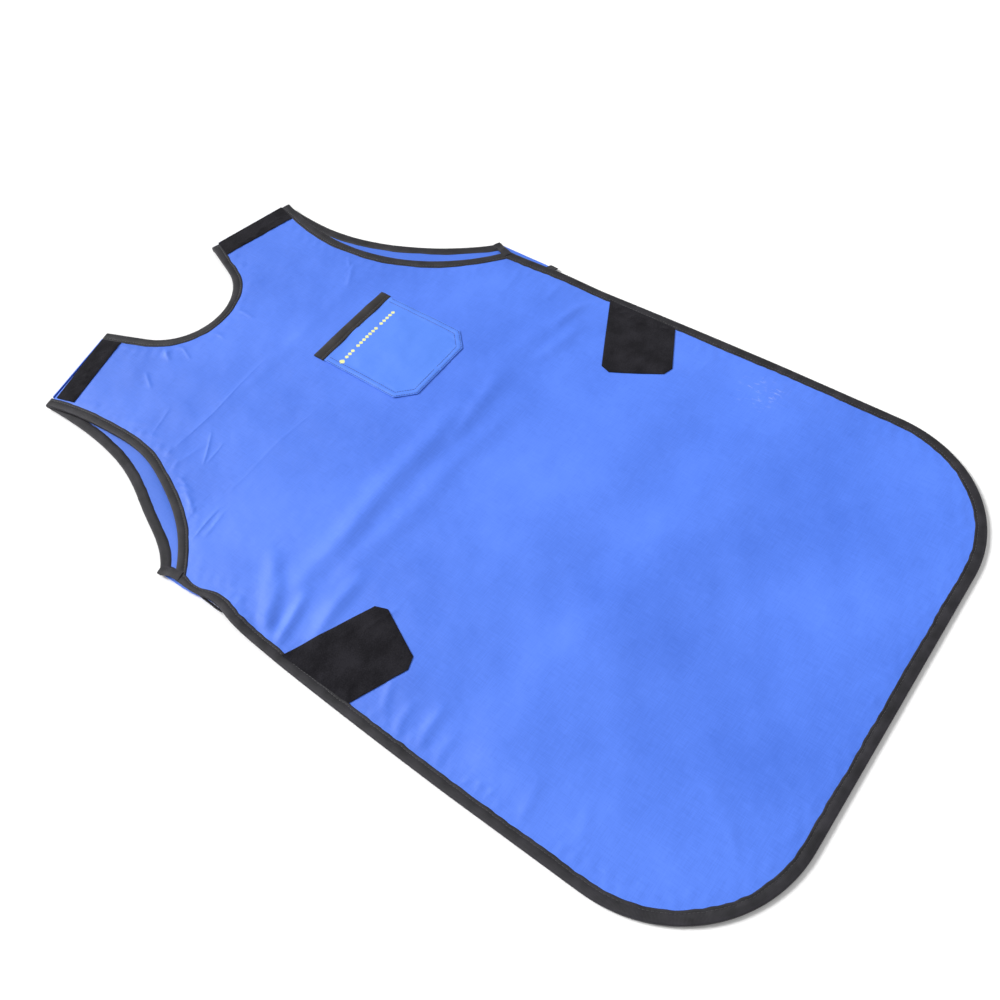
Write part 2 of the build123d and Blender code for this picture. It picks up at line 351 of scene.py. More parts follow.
def inset(loop, amount):
    """A clockwise loop moved inwards."""
    ahead, behind = np.roll(loop, -1, 0), np.roll(loop, 1, 0)
    tangent = ahead - behind
    tangent = tangent / np.maximum(np.linalg.norm(tangent, axis=1), 1e-9)[:, None]
    return loop + turned(tangent) * amount


def filled(loop, step, rows=()):
    """Triangles that fill a loop: (points, faces). rows are extra points inside it."""
    low, high = loop.min(0), loop.max(0)
    ys = np.arange(low[1], high[1], step * math.sqrt(0.75))
    grid = []
    for i, y in enumerate(ys):
        xs = np.arange(low[0] + (i % 2) * step / 2, high[0], step)
        grid.append(np.column_stack([xs, np.full(len(xs), y)]))
    grid = np.concatenate(grid)
    if len(rows):
        grid = np.concatenate([grid[edge_distance(grid, rows) >= 0.6 * step], rows])
    grid = grid[inside(grid, loop)]
    grid = grid[edge_distance(grid, loop) > 0.5 * step]
    points = np.concatenate([loop, grid])
    edges = [(i, (i + 1) % len(loop)) for i in range(len(loop))]
    found = delaunay_2d_cdt([Vector(p) for p in points], edges, [], 1, 1e-5)
    flat = np.array([tuple(v) for v in found[0]])
    faces = np.array([tuple(f) for f in found[2]])
    a, b, c = (flat[faces[:, k]] for k in range(3))
    area = (b - a)[:, 0] * (c - a)[:, 1] - (b - a)[:, 1] * (c - a)[:, 0]
    faces[area < 0] = faces[area < 0][:, ::-1]
    return flat, faces


def placed(name, data):
    """A new object with that mesh, light or camera, in the scene."""
    thing = bpy.data.objects.new(name, data)
    bpy.context.scene.collection.objects.link(thing)
    return thing


def patch_plan(outline, step):
    """Triangles that fill a patch, and how far each point is from its rim."""
    flat, faces = filled(spaced(looped(outline), PATCH_EDGE_STEP)[:-1], step)
    return flat, faces, edge_distance(flat, spaced(looped(outline), PATCH_EDGE_STEP / 2))


def new_mesh(name, points, faces, uv, materials, face_material=None):
    """points in millimetres; uv holds one pair per point, in metres."""
    mesh = bpy.data.meshes.new(name)
    mesh.from_pydata((np.asarray(points) * MM).tolist(), [], [tuple(f) for f in faces])
    mesh.validate()
    layer = mesh.uv_layers.new(name="Pattern")
    index = np.empty(len(mesh.loops), np.int32)
    mesh.loops.foreach_get("vertex_index", index)
    layer.data.foreach_set("uv", np.asarray(uv, np.float32)[index].ravel())
    for material in materials:
        mesh.materials.append(material)
    if face_material is not None:
        mesh.polygons.foreach_set("material_index", np.asarray(face_material, np.int32))
    mesh.polygons.foreach_set("use_smooth", np.ones(len(mesh.polygons), bool))
    mesh.update()
    return placed(name, mesh)


def boundary_edges(faces):
    """Directed edges that only one triangle has."""
    edges = np.concatenate([faces[:, [0, 1]], faces[:, [1, 2]], faces[:, [2, 0]]])
    seen = {tuple(e) for e in edges.tolist()}
    return [e for e in edges.tolist() if (e[1], e[0]) not in seen]


def slab(name, flat, faces, low, high, material):
    """A closed sheet over a flat pattern, between two arrays of heights."""
    n = len(flat)
    points = np.concatenate([np.column_stack([flat, high]), np.column_stack([flat, low])])
    sides = [(b, a, a + n, b + n) for a, b in boundary_edges(faces)]
    everything = [*faces.tolist(), *(faces[:, ::-1] + n).tolist(), *sides]
    uv = np.concatenate([flat, flat]) * MM
    piece = new_mesh(name, points, everything, uv, [material])
    piece.data.set_sharp_from_angle(angle=SHARP)
    return piece


TAPE_PROFILE = [  # (distance from the edge, which face of the layers, height off it)
    (12.0, -1, 0.10), (11.6, -1, 0.45), (8.0, -1, 0.50), (2.0, -1, 0.50), (0.7, -1, 0.34),
    (0.12, -1, -0.35), (0.0, 0, 0.0), (0.12, 1, -0.35), (0.7, 1, 0.34), (2.0, 1, 0.56),
    (5.0, 1, 0.74), (7.9, 1, 0.66), (8.6, 1, 0.44), (9.1, 1, 0.34), (9.6, 1, 0.46), (10.4, 1, 0.68),
    (11.4, 1, 0.60), (11.9, 1, 0.38), (12.0, 1, 0.05),
    (10.0, 1, 0.08), (1.6, 1, 0.08), (1.1, 0, 0.0), (1.6, -1, 0.08), (10.0, -1, 0.08),
]
STITCH_AT = 9.1
STITCH_LENGTH = 2.7
STITCH_PITCH = 3.7
THREAD = 0.24


def thread_run(centres, ups, sides, radius=THREAD, length=STITCH_LENGTH, pitch=STITCH_PITCH):
    """Stitches along a line of points: (points, faces, uv). Each is a short thread that dives at its ends."""
    run = length_along(centres)
    points, faces = [], []

    def at(s, values):
        return np.array([np.interp(s, run, values[:, k]) for k in range(3)])

    for start in np.arange(pitch / 2, run[-1] - length, pitch):
        base = len(points)
        for share, lift, size in ((0, -0.6, 0.5), (0.22, 0.55, 1), (0.78, 0.55, 1), (1, -0.6, 0.5)):
            s = start + share * length
            centre, up, side = at(s, centres), at(s, ups), at(s, sides)
            for k in range(5):
                turn = 2 * math.pi * k / 5
                offset = up * (math.cos(turn) * size + lift) + side * math.sin(turn) * size
                points.append(centre + offset * radius)
        for ring in range(3):
            for k in range(5):
                a, b = base + ring * 5 + k, base + ring * 5 + (k + 1) % 5
                faces.append((a, b, b + 5, a + 5))
        faces.append(tuple(base + k for k in range(5))[::-1])
        faces.append(tuple(base + 15 + k for k in range(5)))
    points = np.array(points)
    return points, faces, points[:, :2] * MM


def unit(v):
    return v / np.maximum(np.linalg.norm(v, axis=-1, keepdims=True), 1e-9)


def tape_rings(path, low, high):
    """Where a binding runs: its edge points, the way in along the cloth, the way up, half the layers."""
    ahead = np.gradient(path, axis=0)
    way_in = turned(unit(ahead))
    inner = path + way_in * tape_width

    def middle(p):
        return (low(p[:, 0], p[:, 1]) + high(p[:, 0], p[:, 1])) / 2

    edge_z, inner_z = middle(path), middle(inner)
    centre = np.column_stack([path, edge_z])
    inward = np.column_stack([way_in, (inner_z - edge_z) / tape_width])
    along = unit(np.gradient(centre, axis=0))
    up = unit(np.cross(along, inward))
    up = up * np.sign(up[:, 2:3] + 1e-9)
    half = (high(path[:, 0], path[:, 1]) - low(path[:, 0], path[:, 1])) / 2
    return centre, inward, up, half


def over_fold(first, second, count=9):
    """Rings that carry a tape from the end of one run, over a fold, to the start of the next."""
    centre_a, in_a, up_a, half_a = (v[-1] for v in first)
    centre_b, in_b, _, half_b = (v[0] for v in second)
    along = np.cross(in_a, up_a)
    outward = along / np.linalg.norm(along)
    before = centre_a - first[0][-2]
    if outward @ before < 0:
        outward = -outward
    radius = abs(centre_a[2] - centre_b[2]) / 2
    rings = []
    for t in np.linspace(0, 1, count + 2)[1:-1]:
        turn = math.pi * t
        base = centre_a * (1 - t) + centre_b * t
        base[2] = (centre_a[2] + centre_b[2]) / 2 + (centre_a[2] - centre_b[2]) / 2 * math.cos(turn)
        base = base + outward * radius * math.sin(turn)
        up = np.array([0, 0, 1.0]) * math.cos(turn) + outward * math.sin(turn)
        rings.append((base, in_a * (1 - t) + in_b * t, up, half_a * (1 - t) + half_b * t))
    return tuple(np.array([r[k] for r in rings]) for k in range(4))


def chained(*runs):
    return tuple(np.concatenate([r[k] for r in runs]) for k in range(4))


def upside_down(rings):
    centre, inward, up, half = rings
    return centre, inward, -up, half


def tape_piece(name, rings, seed, lap_at=None, wide=1.0, material=None, rolled=None):
    """A woven tape folded round an edge, with its row of stitches. lap_at is where its two ends overlap."""
    centre, inward, up, half = rings
    n, m = len(centre), len(TAPE_PROFILE)
    run = length_along(centre)
    wave = waves(run, 0 * run, 17, seed)
    slow = waves(run, 0 * run, 60, seed + 1)
    lap = 0 * run
    if lap_at is not None:
        lap = ramp(run, lap_at, lap_at + 1) * (1 - ramp(run, lap_at + 13, lap_at + 24))
    shown = 1 if rolled is None else rolled(centre)
    points, uv = [], []
    for a, face, rise in TAPE_PROFILE:
        reach = wide * shown * a * (1 + 0.03 * slow) + (0.28 * wave * (a > 7))
        lift = face * (half + rise * (1 + 0.10 * wave) + 0.45 * lap) + 0.10 * wave * (a > 3) * (face > 0)
        points.append(centre + inward * reach[:, None] + up * lift[:, None])
        uv.append(np.column_stack([run * MM, np.full(n, (a * (1 if face > 0 else -1)) * MM)]))
    points = np.stack(points, 1).reshape(-1, 3)
    uv = np.stack(uv, 1).reshape(-1, 2)
    faces = []
    for i in range(n - 1):
        for k in range(m):
            after = (k + 1) % m
            faces.append((i * m + k, i * m + after, (i + 1) * m + after, (i + 1) * m + k))
    faces.append(tuple(range(m))[::-1])
    faces.append(tuple((n - 1) * m + k for k in range(m)))
    seam = centre + inward * (wide * shown * STITCH_AT * (1 + 0.03 * slow) + 0.28 * wave)[:, None]
    seam = seam + up * (half + 0.44)[:, None]
    thread_points, thread_faces, thread_uv = thread_run(seam, up, unit(inward))
    split = len(points)
    all_faces = faces + [tuple(split + i for i in f) for f in thread_faces]
    which = [0] * len(faces) + [1] * len(thread_faces)
    return closed(new_mesh(
        name,
        np.concatenate([points, thread_points]),
        all_faces,
        np.concatenate([uv, thread_uv]),
        [material or tape_material, thread_material],
        which,
    ))


def ribbon(name, lines, thickness, material, uv_width):
    """A closed thin strip through several lines of points, the first line to the last across it."""
    rows = np.array(lines)
    count, length = rows.shape[:2]
    along = np.gradient(rows, axis=1)
    across = np.gradient(rows, axis=0)
    normal = unit(np.cross(across, along))
    points = np.concatenate([rows.reshape(-1, 3), (rows - normal * thickness).reshape(-1, 3)])
    run = length_along(rows[0]) * MM
    widths = np.linspace(0, uv_width * MM, count)
    uv = np.stack(np.broadcast_arrays(run[None], widths[:, None]), -1).reshape(-1, 2)
    half = count * length

    def at(i, j):
        return i * length + j

    faces = []
    for i in range(count - 1):
        for j in range(length - 1):
            quad = (at(i, j), at(i, j + 1), at(i + 1, j + 1), at(i + 1, j))
            faces.append(quad)
            faces.append(tuple(half + v for v in quad[::-1]))
    rim = [at(0, j) for j in range(length)]
    rim += [at(i, length - 1) for i in range(1, count)]
    rim += [at(count - 1, j) for j in range(length - 2, -1, -1)]
    rim += [at(i, 0) for i in range(count - 2, 0, -1)]
    for a, b in zip(rim, rim[1:] + rim[:1], strict=True):
        faces.append((b, a, a + half, b + half))
    return closed(new_mesh(name, points, faces, np.concatenate([uv, uv]), [material]))


def closed(piece):
    """Turns every face outwards and keeps the sheet's rims crisp."""
    work = bmesh.new()
    work.from_mesh(piece.data)
    bmesh.ops.recalc_face_normals(work, faces=work.faces)
    work.to_mesh(piece.data)
    work.free()
    piece.data.set_sharp_from_angle(angle=SHARP)
    return piece


# ---------------------------------------------------------------- relief of the cover
front_edge = spaced(looped(front_path), 2)
CRISP_WIDTH = 3.2  # narrower creases get mesh rows of their own
SOFT_WIDTH = 5.5  # wider ones are raised more
creases = [  # (x, y, heading in degrees, half length, half width, height)
    (-222, 176, 4, 26, 1.5, 0.55), (-218, 170, 8, 20, 2.2, 0.5), (-212, 218, 62, 24, 3.0, 0.8),
    (-200, 236, 80, 18, 2.5, 0.45), (-150, 240, 12, 18, 1.6, 0.4), (-170, 262, -6, 30, 2.5, 0.35),
    (-262, 42, 25, 48, 7.0, 1.5), (-244, 62, 34, 52, 9.0, 1.3), (-262, 20, 8, 46, 6.0, 1.6),
    (-215, -10, 5, 50, 8.0, 1.3), (-205, -55, -22, 28, 2.6, 0.7), (-232, -38, -20, 22, 2.0, 0.5),
    (-262, -112, 18, 26, 4.0, 0.8), (-270, -140, 12, 24, 4.5, 0.9), (-264, -166, 6, 32, 6.0, 0.9),
    (-270, -190, 4, 26, 4.0, 0.6), (-262, -280, 8, 26, 5.0, 0.6), (-250, -330, 22, 26, 5.0, 0.5),
    (-170, -415, 58, 34, 9.0, 0.3), (-120, -448, 74, 28, 5.0, 0.4), (-192, -440, 40, 18, 3.5, 0.5),
    (-72, 408, 58, 18, 2.6, 0.9), (-60, 386, 66, 16, 2.0, 0.5), (-18, 372, 84, 14, 2.2, 0.4),
    (150, 300, 35, 22, 3.0, 0.6), (168, 318, 42, 14, 2.2, 0.5), (26, 368, 92, 16, 2.2, 0.5),
    (-92, 287, 3, 92, 1.5, 0.36), (-96, 187, -1, 84, 1.6, 0.2), (-150, 252, 38, 26, 1.6, 0.5),
    (-236, 196, 14, 30, 1.7, 0.5), (-118, 392, 62, 16, 2.0, 0.5), (-150, 330, 20, 22, 1.8, 0.35),
    (252, 120, 8, 26, 3.5, 0.5), (262, 62, -6, 26, 4.0, 0.6), (236, 26, -14, 34, 6.0, 0.8),
    (196, 10, -8, 44, 8.0, 0.8), (250, -150, -14, 26, 4.0, 0.4), (60, 30, 3, 60, 8.0, 0.7),
]
broad_folds = [  # long soft folds over the waist, from the wearer's right
    (-90, 44, 2, 170, 14.0, 2.0), (-60, 3, -2, 180, 13.0, 0.9), (130, 38, 3, 150, 16.0, 0.7),
]


def crease_wander(along, x):
    """How far a crease strays from its straight line."""
    return 2 * np.sin(along / 23 + x)


def crease_height(points, folds):
    total = np.zeros(len(points))
    for x, y, heading, reach, width, rise in folds:
        cos, sin = heading_of(heading)
        dx, dy = points[:, 0] - x, points[:, 1] - y
        along = dx * cos + dy * sin
        across = -dx * sin + dy * cos + crease_wander(along, x)
        taper = np.clip(1 - np.abs(along / reach) ** 2.5, 0, 1)
        raised = rise * (1.2 if width < SOFT_WIDTH else 2.0)
        total = total + raised * taper * ridge(across, 0, width)
    return total


def crease_rows(folds):
    """Extra mesh points along and beside the narrow creases, so that they stay crisp."""
    rows = []
    for x, y, heading, reach, width, _ in folds:
        ahead = heading_of(heading)
        beside = np.array([-ahead[1], ahead[0]])
        for along in np.arange(-reach, reach, 2.6):
            offset = -crease_wander(along, x)
            for across in np.array([-2, -1, -0.4, 0.4, 1, 2]) * min(width, 2.4):
                rows.append(np.array([x, y]) + ahead * along + beside * (offset + across))
    return np.array(rows)


def relief(points):
    """How far the cover's cloth stands up from the lead sheets."""
    x, y = points[:, 0], points[:, 1]
    inside_edge = edge_distance(points, front_edge)
    clear = ramp(inside_edge, 11.8, 25)
    height = clear * (crease_height(points, creases) + crease_height(points, broad_folds))
    height = height + clear * (0.16 * (1 + waves(x, y, 46, 21)) + 0.05 * (1 + waves(x, y, 15, 22)))
    pucker = np.clip(waves(x, y, 11, 23) + 0.2, 0, 2)
    height = height + 0.5 * pucker * ramp(inside_edge, 11.5, 17) * (1 - ramp(inside_edge, 18, 38))
    return np.maximum(height, 0)


def cover_top(points):
    return front_high(points[:, 0], points[:, 1]) + relief(points)


# ---------------------------------------------------------------- materials
class Shading:
    """A material's node tree, with short ways to add its nodes."""

    def __init__(self, name, roughness, sheen=0.0, sheen_roughness=0.5, specular=0.5):
        self.material = bpy.data.materials.new(name)
        self.material.use_nodes = True
        self.nodes, self.links = self.material.node_tree.nodes, self.material.node_tree.links
        self.surface = self.nodes["Principled BSDF"]
        self.set("Roughness", roughness)
        self.set("Sheen Weight", sheen)
        self.set("Sheen Roughness", sheen_roughness)
        self.set("Specular IOR Level", specular)

    def set(self, socket, value):
        self.surface.inputs[socket].default_value = value

    def finish(self, colour, normal):
        """Connects the colour and the relief, and gives the material back."""
        self.links.new(colour, self.surface.inputs["Base Color"])
        self.links.new(normal, self.surface.inputs["Normal"])
        return self.material

    def pattern_uv(self, stretch=(1, 1, 1)):
        """The pattern's own coordinates, in metres."""
        uv = self.nodes.new("ShaderNodeUVMap")
        uv.uv_map = "Pattern"
        mapping = self.nodes.new("ShaderNodeMapping")
        mapping.inputs["Scale"].default_value = stretch
        self.links.new(uv.outputs["UV"], mapping.inputs["Vector"])
        return mapping.outputs["Vector"]

    def noise(self, vector, scale, detail=3.0, roughness=0.55):
        node = self.nodes.new("ShaderNodeTexNoise")
        node.inputs["Scale"].default_value = scale
        node.inputs["Detail"].default_value = detail
        node.inputs["Roughness"].default_value = roughness
        self.links.new(vector, node.inputs["Vector"])
        return node.outputs["Fac"]

    def maths(self, operation, first, second=None):
        node = self.nodes.new("ShaderNodeMath")
        node.operation = operation
        for socket, value in zip(node.inputs, (first, second), strict=False):
            if value is None:
                continue
            if isinstance(value, int | float):
                socket.default_value = value
            else:
                self.links.new(value, socket)
        return node.outputs["Value"]

    def weave(self, pitch_u, pitch_v):
        """Over-and-under threads of that pitch, in metres, between -1 and 1."""
        split = self.nodes.new("ShaderNodeSeparateXYZ")
        self.links.new(self.pattern_uv(), split.inputs["Vector"])
        along = self.maths("MULTIPLY", split.outputs["X"], math.pi / pitch_u)
        across = self.maths("MULTIPLY", split.outputs["Y"], math.pi / pitch_v)
        wave_u = self.maths("SINE", along)
        wave_v = self.maths("SINE", across)
        return self.maths("MULTIPLY", wave_u, wave_v)

    def mixed(self, factor, first, second):
        """Runs from the first colour to the second with factor."""
        blend = self.nodes.new("ShaderNodeMix")
        blend.data_type = "RGBA"
        self.links.new(factor, blend.inputs["Factor"])
        for socket, value in ((blend.inputs[6], first), (blend.inputs[7], second)):
            if isinstance(value, tuple):
                socket.default_value = (*value, 1)
            else:
                self.links.new(value, socket)
        return blend.outputs[2]

    def spread(self, value, low, high):
        node = self.nodes.new("ShaderNodeMapRange")
        node.inputs["From Min"].default_value = low
        node.inputs["From Max"].default_value = high
        self.links.new(value, node.inputs["Value"])
        return node.outputs["Result"]

    def bump(self, height, distance, strength=1.0, below=None):
        node = self.nodes.new("ShaderNodeBump")
        node.inputs["Distance"].default_value = distance
        node.inputs["Strength"].default_value = strength
        self.links.new(height, node.inputs["Height"])
        if below is not None:
            self.links.new(below, node.inputs["Normal"])
        return node.outputs["Normal"]


def coated_nylon(name, dark, light, scuffed=False):
    """Polyurethane-coated plain weave with a satin face."""
    made = Shading(name, 0.48, sheen=0.10, sheen_roughness=0.45, specular=0.34)
    plain = made.pattern_uv()
    warp = made.pattern_uv((1, 0.06, 1))
    weft = made.pattern_uv((0.06, 1, 1))
    mottle = made.noise(plain, 5, 3)
    slubs = made.maths("ADD", made.noise(warp, 900, 2), made.noise(weft, 900, 2))
    shade = made.maths("MULTIPLY", mottle, 0.6)
    shade = made.maths("ADD", shade, made.maths("MULTIPLY", slubs, 0.2))
    colour = made.mixed(made.spread(shade, 0.36, 0.64), dark, light)
    if scuffed:
        colour = scuff(made, colour)
    threads = made.bump(made.weave(0.00042, 0.00042), 0.00006, 0.5)
    slubby = made.bump(slubs, 0.00012, 0.35, threads)
    crumple = made.bump(made.noise(plain, 130, 3), 0.0004, 0.22, slubby)
    return made.finish(colour, crumple)


def ribbed_tape(name, dark, light, roughness=0.62):
    """Woven binding tape: fine ribs across it, worn a little paler along its fold."""
    made = Shading(name, roughness, sheen=0.05, sheen_roughness=0.4, specular=0.30)
    split = made.nodes.new("ShaderNodeSeparateXYZ")
    plain = made.pattern_uv()
    made.links.new(plain, split.inputs["Vector"])
    run = made.maths("MULTIPLY", split.outputs["X"], 2 * math.pi / 0.0011)
    ribs = made.maths("SINE", run)
    fold = made.spread(made.maths("ABSOLUTE", split.outputs["Y"]), 0.0030, 0.0004)
    fuzz = made.noise(plain, 1400, 3)
    patchy = made.noise(plain, 60, 3)
    tone = made.maths("ADD", made.maths("MULTIPLY", ribs, 0.12), patchy)
    tone = made.maths("ADD", tone, made.maths("MULTIPLY", fuzz, 0.35))
    tone = made.maths("ADD", tone, made.maths("MULTIPLY", fold, 0.28))
    colour = made.mixed(made.spread(tone, 0.45, 1.05), dark, light)
    ribbed = made.bump(ribs, 0.00010, 0.6)
    return made.finish(colour, made.bump(fuzz, 0.0002, 0.4, ribbed))


def brushed_loops(name, dark, light):
    """Loop tape: a dense matt pile."""
    made = Shading(name, 0.95, sheen=0.02, sheen_roughness=0.7, specular=0.12)
    plain = made.pattern_uv()
    pile = made.noise(plain, 650, 5, 0.75)
    loops = made.nodes.new("ShaderNodeTexVoronoi")
    loops.inputs["Scale"].default_value = 850
    made.links.new(plain, loops.inputs["Vector"])
    nap = made.noise(plain, 45, 3)
    tone = made.maths("ADD", pile, made.maths("MULTIPLY", nap, 0.7))
    colour = made.mixed(made.spread(tone, 0.72, 1.0), dark, light)
    fluffy = made.bump(loops.outputs["Distance"], 0.0003, 0.5)
    return made.finish(colour, made.bump(pile, 0.0006, 0.6, fluffy))


def lead_rubber_sheet(name):
    made = Shading(name, 0.55, specular=0.45)
    plain = made.pattern_uv()
    grain = made.noise(plain, 700, 4)
    clouds = made.noise(plain, 14, 4)
    tone = made.maths("ADD", clouds, made.maths("MULTIPLY", grain, 0.3))
    colour = made.mixed(made.spread(tone, 0.4, 0.95), (0.11, 0.11, 0.118), (0.2, 0.2, 0.208))
    return made.finish(colour, made.bump(grain, 0.0002, 0.4))


def printed_ink(name):
    made = Shading(name, 0.5, specular=0.4)
    plain = made.pattern_uv()
    worn = made.noise(plain, 900, 4, 0.65)
    colour = made.mixed(made.spread(worn, 0.3, 0.62), (0.62, 0.66, 0.3), (0.9, 0.9, 0.42))
    return made.finish(colour, made.bump(made.weave(0.00042, 0.00042), 0.00006, 0.4))


def twisted_thread(name, dark, light):
    made = Shading(name, 0.5, sheen=0.3, specular=0.5)
    plain = made.pattern_uv()
    twist = made.noise(plain, 2600, 2)
    return made.finish(made.mixed(twist, dark, light), made.bump(twist, 0.0002, 0.6))


def scuff(made, colour):
    """A faint pale rub near the wearer's left edge, at the lap fold."""
    place = made.nodes.new("ShaderNodeVectorMath")
    place.operation = "DISTANCE"
    made.links.new(made.pattern_uv(), place.inputs[0])
    place.inputs[1].default_value = (0.250, -0.222, 0)
    near = made.spread(place.outputs["Value"], 0.034, 0.012)
    scratch = made.pattern_uv((1, 0.35, 1))
    marks = made.spread(made.noise(scratch, 260, 4, 0.7), 0.56, 0.66)
    amount = made.maths("MULTIPLY", made.maths("MULTIPLY", near, marks), 0.32)
    return made.mixed(amount, colour, (0.50, 0.58, 0.86))


cover_material = coated_nylon("cover_nylon", (0.056, 0.158, 0.69), (0.098, 0.232, 0.90), scuffed=True)
lining_material = coated_nylon("lining_nylon", (0.056, 0.160, 0.68), (0.080, 0.200, 0.80))
pocket_material = coated_nylon("pocket_nylon", (0.074, 0.214, 0.80), (0.102, 0.254, 0.89))
tape_material = ribbed_tape("binding_tape", (0.008, 0.008, 0.010), (0.034, 0.032, 0.040))
mouth_material = ribbed_tape("pocket_tape", (0.010, 0.009, 0.010), (0.034, 0.029, 0.030))
loop_material = brushed_loops("loop_pile", (0.006, 0.0055, 0.008), (0.018, 0.017, 0.022))
hook_material = ribbed_tape("hook_tape", (0.010, 0.010, 0.012), (0.030, 0.030, 0.034), roughness=0.45)
lead_material = lead_rubber_sheet("lead_rubber")
thread_material = twisted_thread("black_thread", (0.020, 0.020, 0.024), (0.050, 0.048, 0.055))
blue_thread_material = twisted_thread("blue_thread", (0.014, 0.045, 0.25), (0.030, 0.085, 0.42))
ink_material = printed_ink("yellow_ink")


# ---------------------------------------------------------------- placing helpers
def on_side(path, side, tuck=TUCK):
    """A path of the wearer's left half, or its mirror image, clockwise either way, as it lies."""
    return as_laid(path if side > 0 else flip(path), tuck)


def area_of(loop):
    """Area inside a closed loop, in square metres."""
    x, y = loop[:, 0] * MM, loop[:, 1] * MM
    return abs(np.sum(x * np.roll(y, -1) - y * np.roll(x, -1))) / 2


def across_fold(piece):
    """Bakes the piece's transform into its mesh; the piece lies across the lap fold."""
    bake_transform(piece)


def across_hinge(piece):
    """Bakes the piece's transform into its mesh; the piece lies across the line that the back wing swings
    about.
    """
    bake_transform(piece)


SIDES = (("left", 1), ("right", -1))


# ---------------------------------------------------------------- the front's layers
front_loop = inset(softened(front_path, STEP, 1)[:-1], edge_inset)
layers = [  # (name, CAD layer, height above the stack's foot, thickness, material, slot)
    ("front_lining", "lining", 0, cloth, lining_material, "cover_cloth"),
    ("back_lead", "back_lead_sheet", cloth + gap, lead, lead_material, "lead_rubber"),
    ("front_lead", "front_lead_sheet", cloth + lead + 2 * gap, lead, lead_material, "lead_rubber"),
    ("front_cover", "cover", stack - cloth, cloth, cover_material, "cover_cloth"),
]
fold_rows = np.arange(fold_y + FOLD_MESH[0], fold_y + FOLD_MESH[1], 2.0)
fold_x, fold_rows = np.meshgrid(np.arange(-294, 295, 6.0), fold_rows)
bend_points = np.column_stack([fold_x.ravel(), fold_rows.ravel()])
sharp_rows = crease_rows([fold for fold in creases if fold[4] < CRISP_WIDTH])
# one mesh plan for every layer, so that none cuts through another where they bend
flat, faces = filled(front_loop, FRONT_STEP, np.concatenate([bend_points, sharp_rows]))
for name, cad_layer, bottom, thick, material, slot in layers:
    foot = front_low(flat[:, 0], flat[:, 1]) + bottom
    if name == "front_cover":
        foot = foot + relief(flat)
    piece = slab(name, flat, faces, foot, foot + thick, material)
    across_fold(piece)
    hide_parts("bodice_" + cad_layer, "skirt_" + cad_layer)


# ---------------------------------------------------------------- bindings of the front
def closer(path, bends):
    """The same path with more points where it crosses a joint, so that the tape bends as its sheets do."""
    points = [path[:1]]
    for a, b, bent in zip(path[:-1], path[1:], bends[:-1], strict=True):
        parts = 4 if bent else 1
        points.append(a + (b - a) * (np.arange(1, parts + 1) / parts)[:, None])
    return np.concatenate(points)


hem_run = softened(hem_path)
hem_run = closer(hem_run, (hem_run[:, 1] > fold_y + FOLD_TAPE[0]) & (hem_run[:, 1] < fold_y + FOLD_TAPE[1]))
edge_rings = tape_rings(hem_run, front_low, front_high)


def rolled_under(centre):
    """How much of the edge tape shows: less just below the right arm, where the edge rolls under."""
    return 1 - 0.45 * ramp(-centre[:, 0], 250, 275) * ridge(centre[:, 1], 126, 32) ** 2


edge_tape = tape_piece("edge_tape", edge_rings, seed=31, lap_at=EDGE_TAPE_LAP, rolled=rolled_under)
across_fold(edge_tape)
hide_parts("hem_binding", "left_side_binding", "right_side_binding")


def wing_top(x, y):
    return wing_floor(x, y) + wing_stack


def backwards(rings):
    return tuple(v[::-1] for v in rings)


def towards(rings, point):
    """The same run, ending at the end that is nearer to the point."""
    first = np.linalg.norm(rings[0][0][:2] - point)
    last = np.linalg.norm(rings[0][-1][:2] - point)
    return backwards(rings) if first < last else rings


neck_run = tape_rings(softened(neck_path), front_low, front_high)
neck_ends = []
for _, side in SIDES:
    start = softened(on_side(wing_neck_path, side))
    behind = upside_down(tape_rings(start, wing_floor, wing_top))
    behind = backwards(towards(behind, yoke_neck * [side, 1]))
    front_run = towards(neck_run, yoke_neck * [side, 1])
    neck_ends.append(over_fold(front_run, behind))
neck_run = towards(neck_run, yoke_neck)
neck_rings = chained(backwards(neck_ends[1]), neck_run, neck_ends[0])
neck_tape = tape_piece("neck_tape", neck_rings, seed=41)
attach(neck_tape, "bodice")
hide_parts("neck_binding")


def arm_tape(name, side, seed):
    """One tape round the whole arm opening: up the front, over the shoulder and down the back."""
    tip = yoke_shoulder * [side, 1]
    front_run = towards(tape_rings(softened(on_side(armhole_path, side, 0)), front_low, front_high), tip)
    back_edge = joined(yoke_path, line(yoke_underarm, seam_top + [0.5, -1]))
    back_run = tape_rings(softened(on_side(back_edge, side)), wing_floor, wing_top)
    back_run = backwards(towards(upside_down(back_run), tip))
    rings = chained(front_run, over_fold(front_run, back_run), back_run)
    piece = tape_piece(name + "_arm_tape", rings, seed=seed)
    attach(piece, "bodice")
    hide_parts(name + "_armhole_binding", name + "_yoke_binding")
    return piece


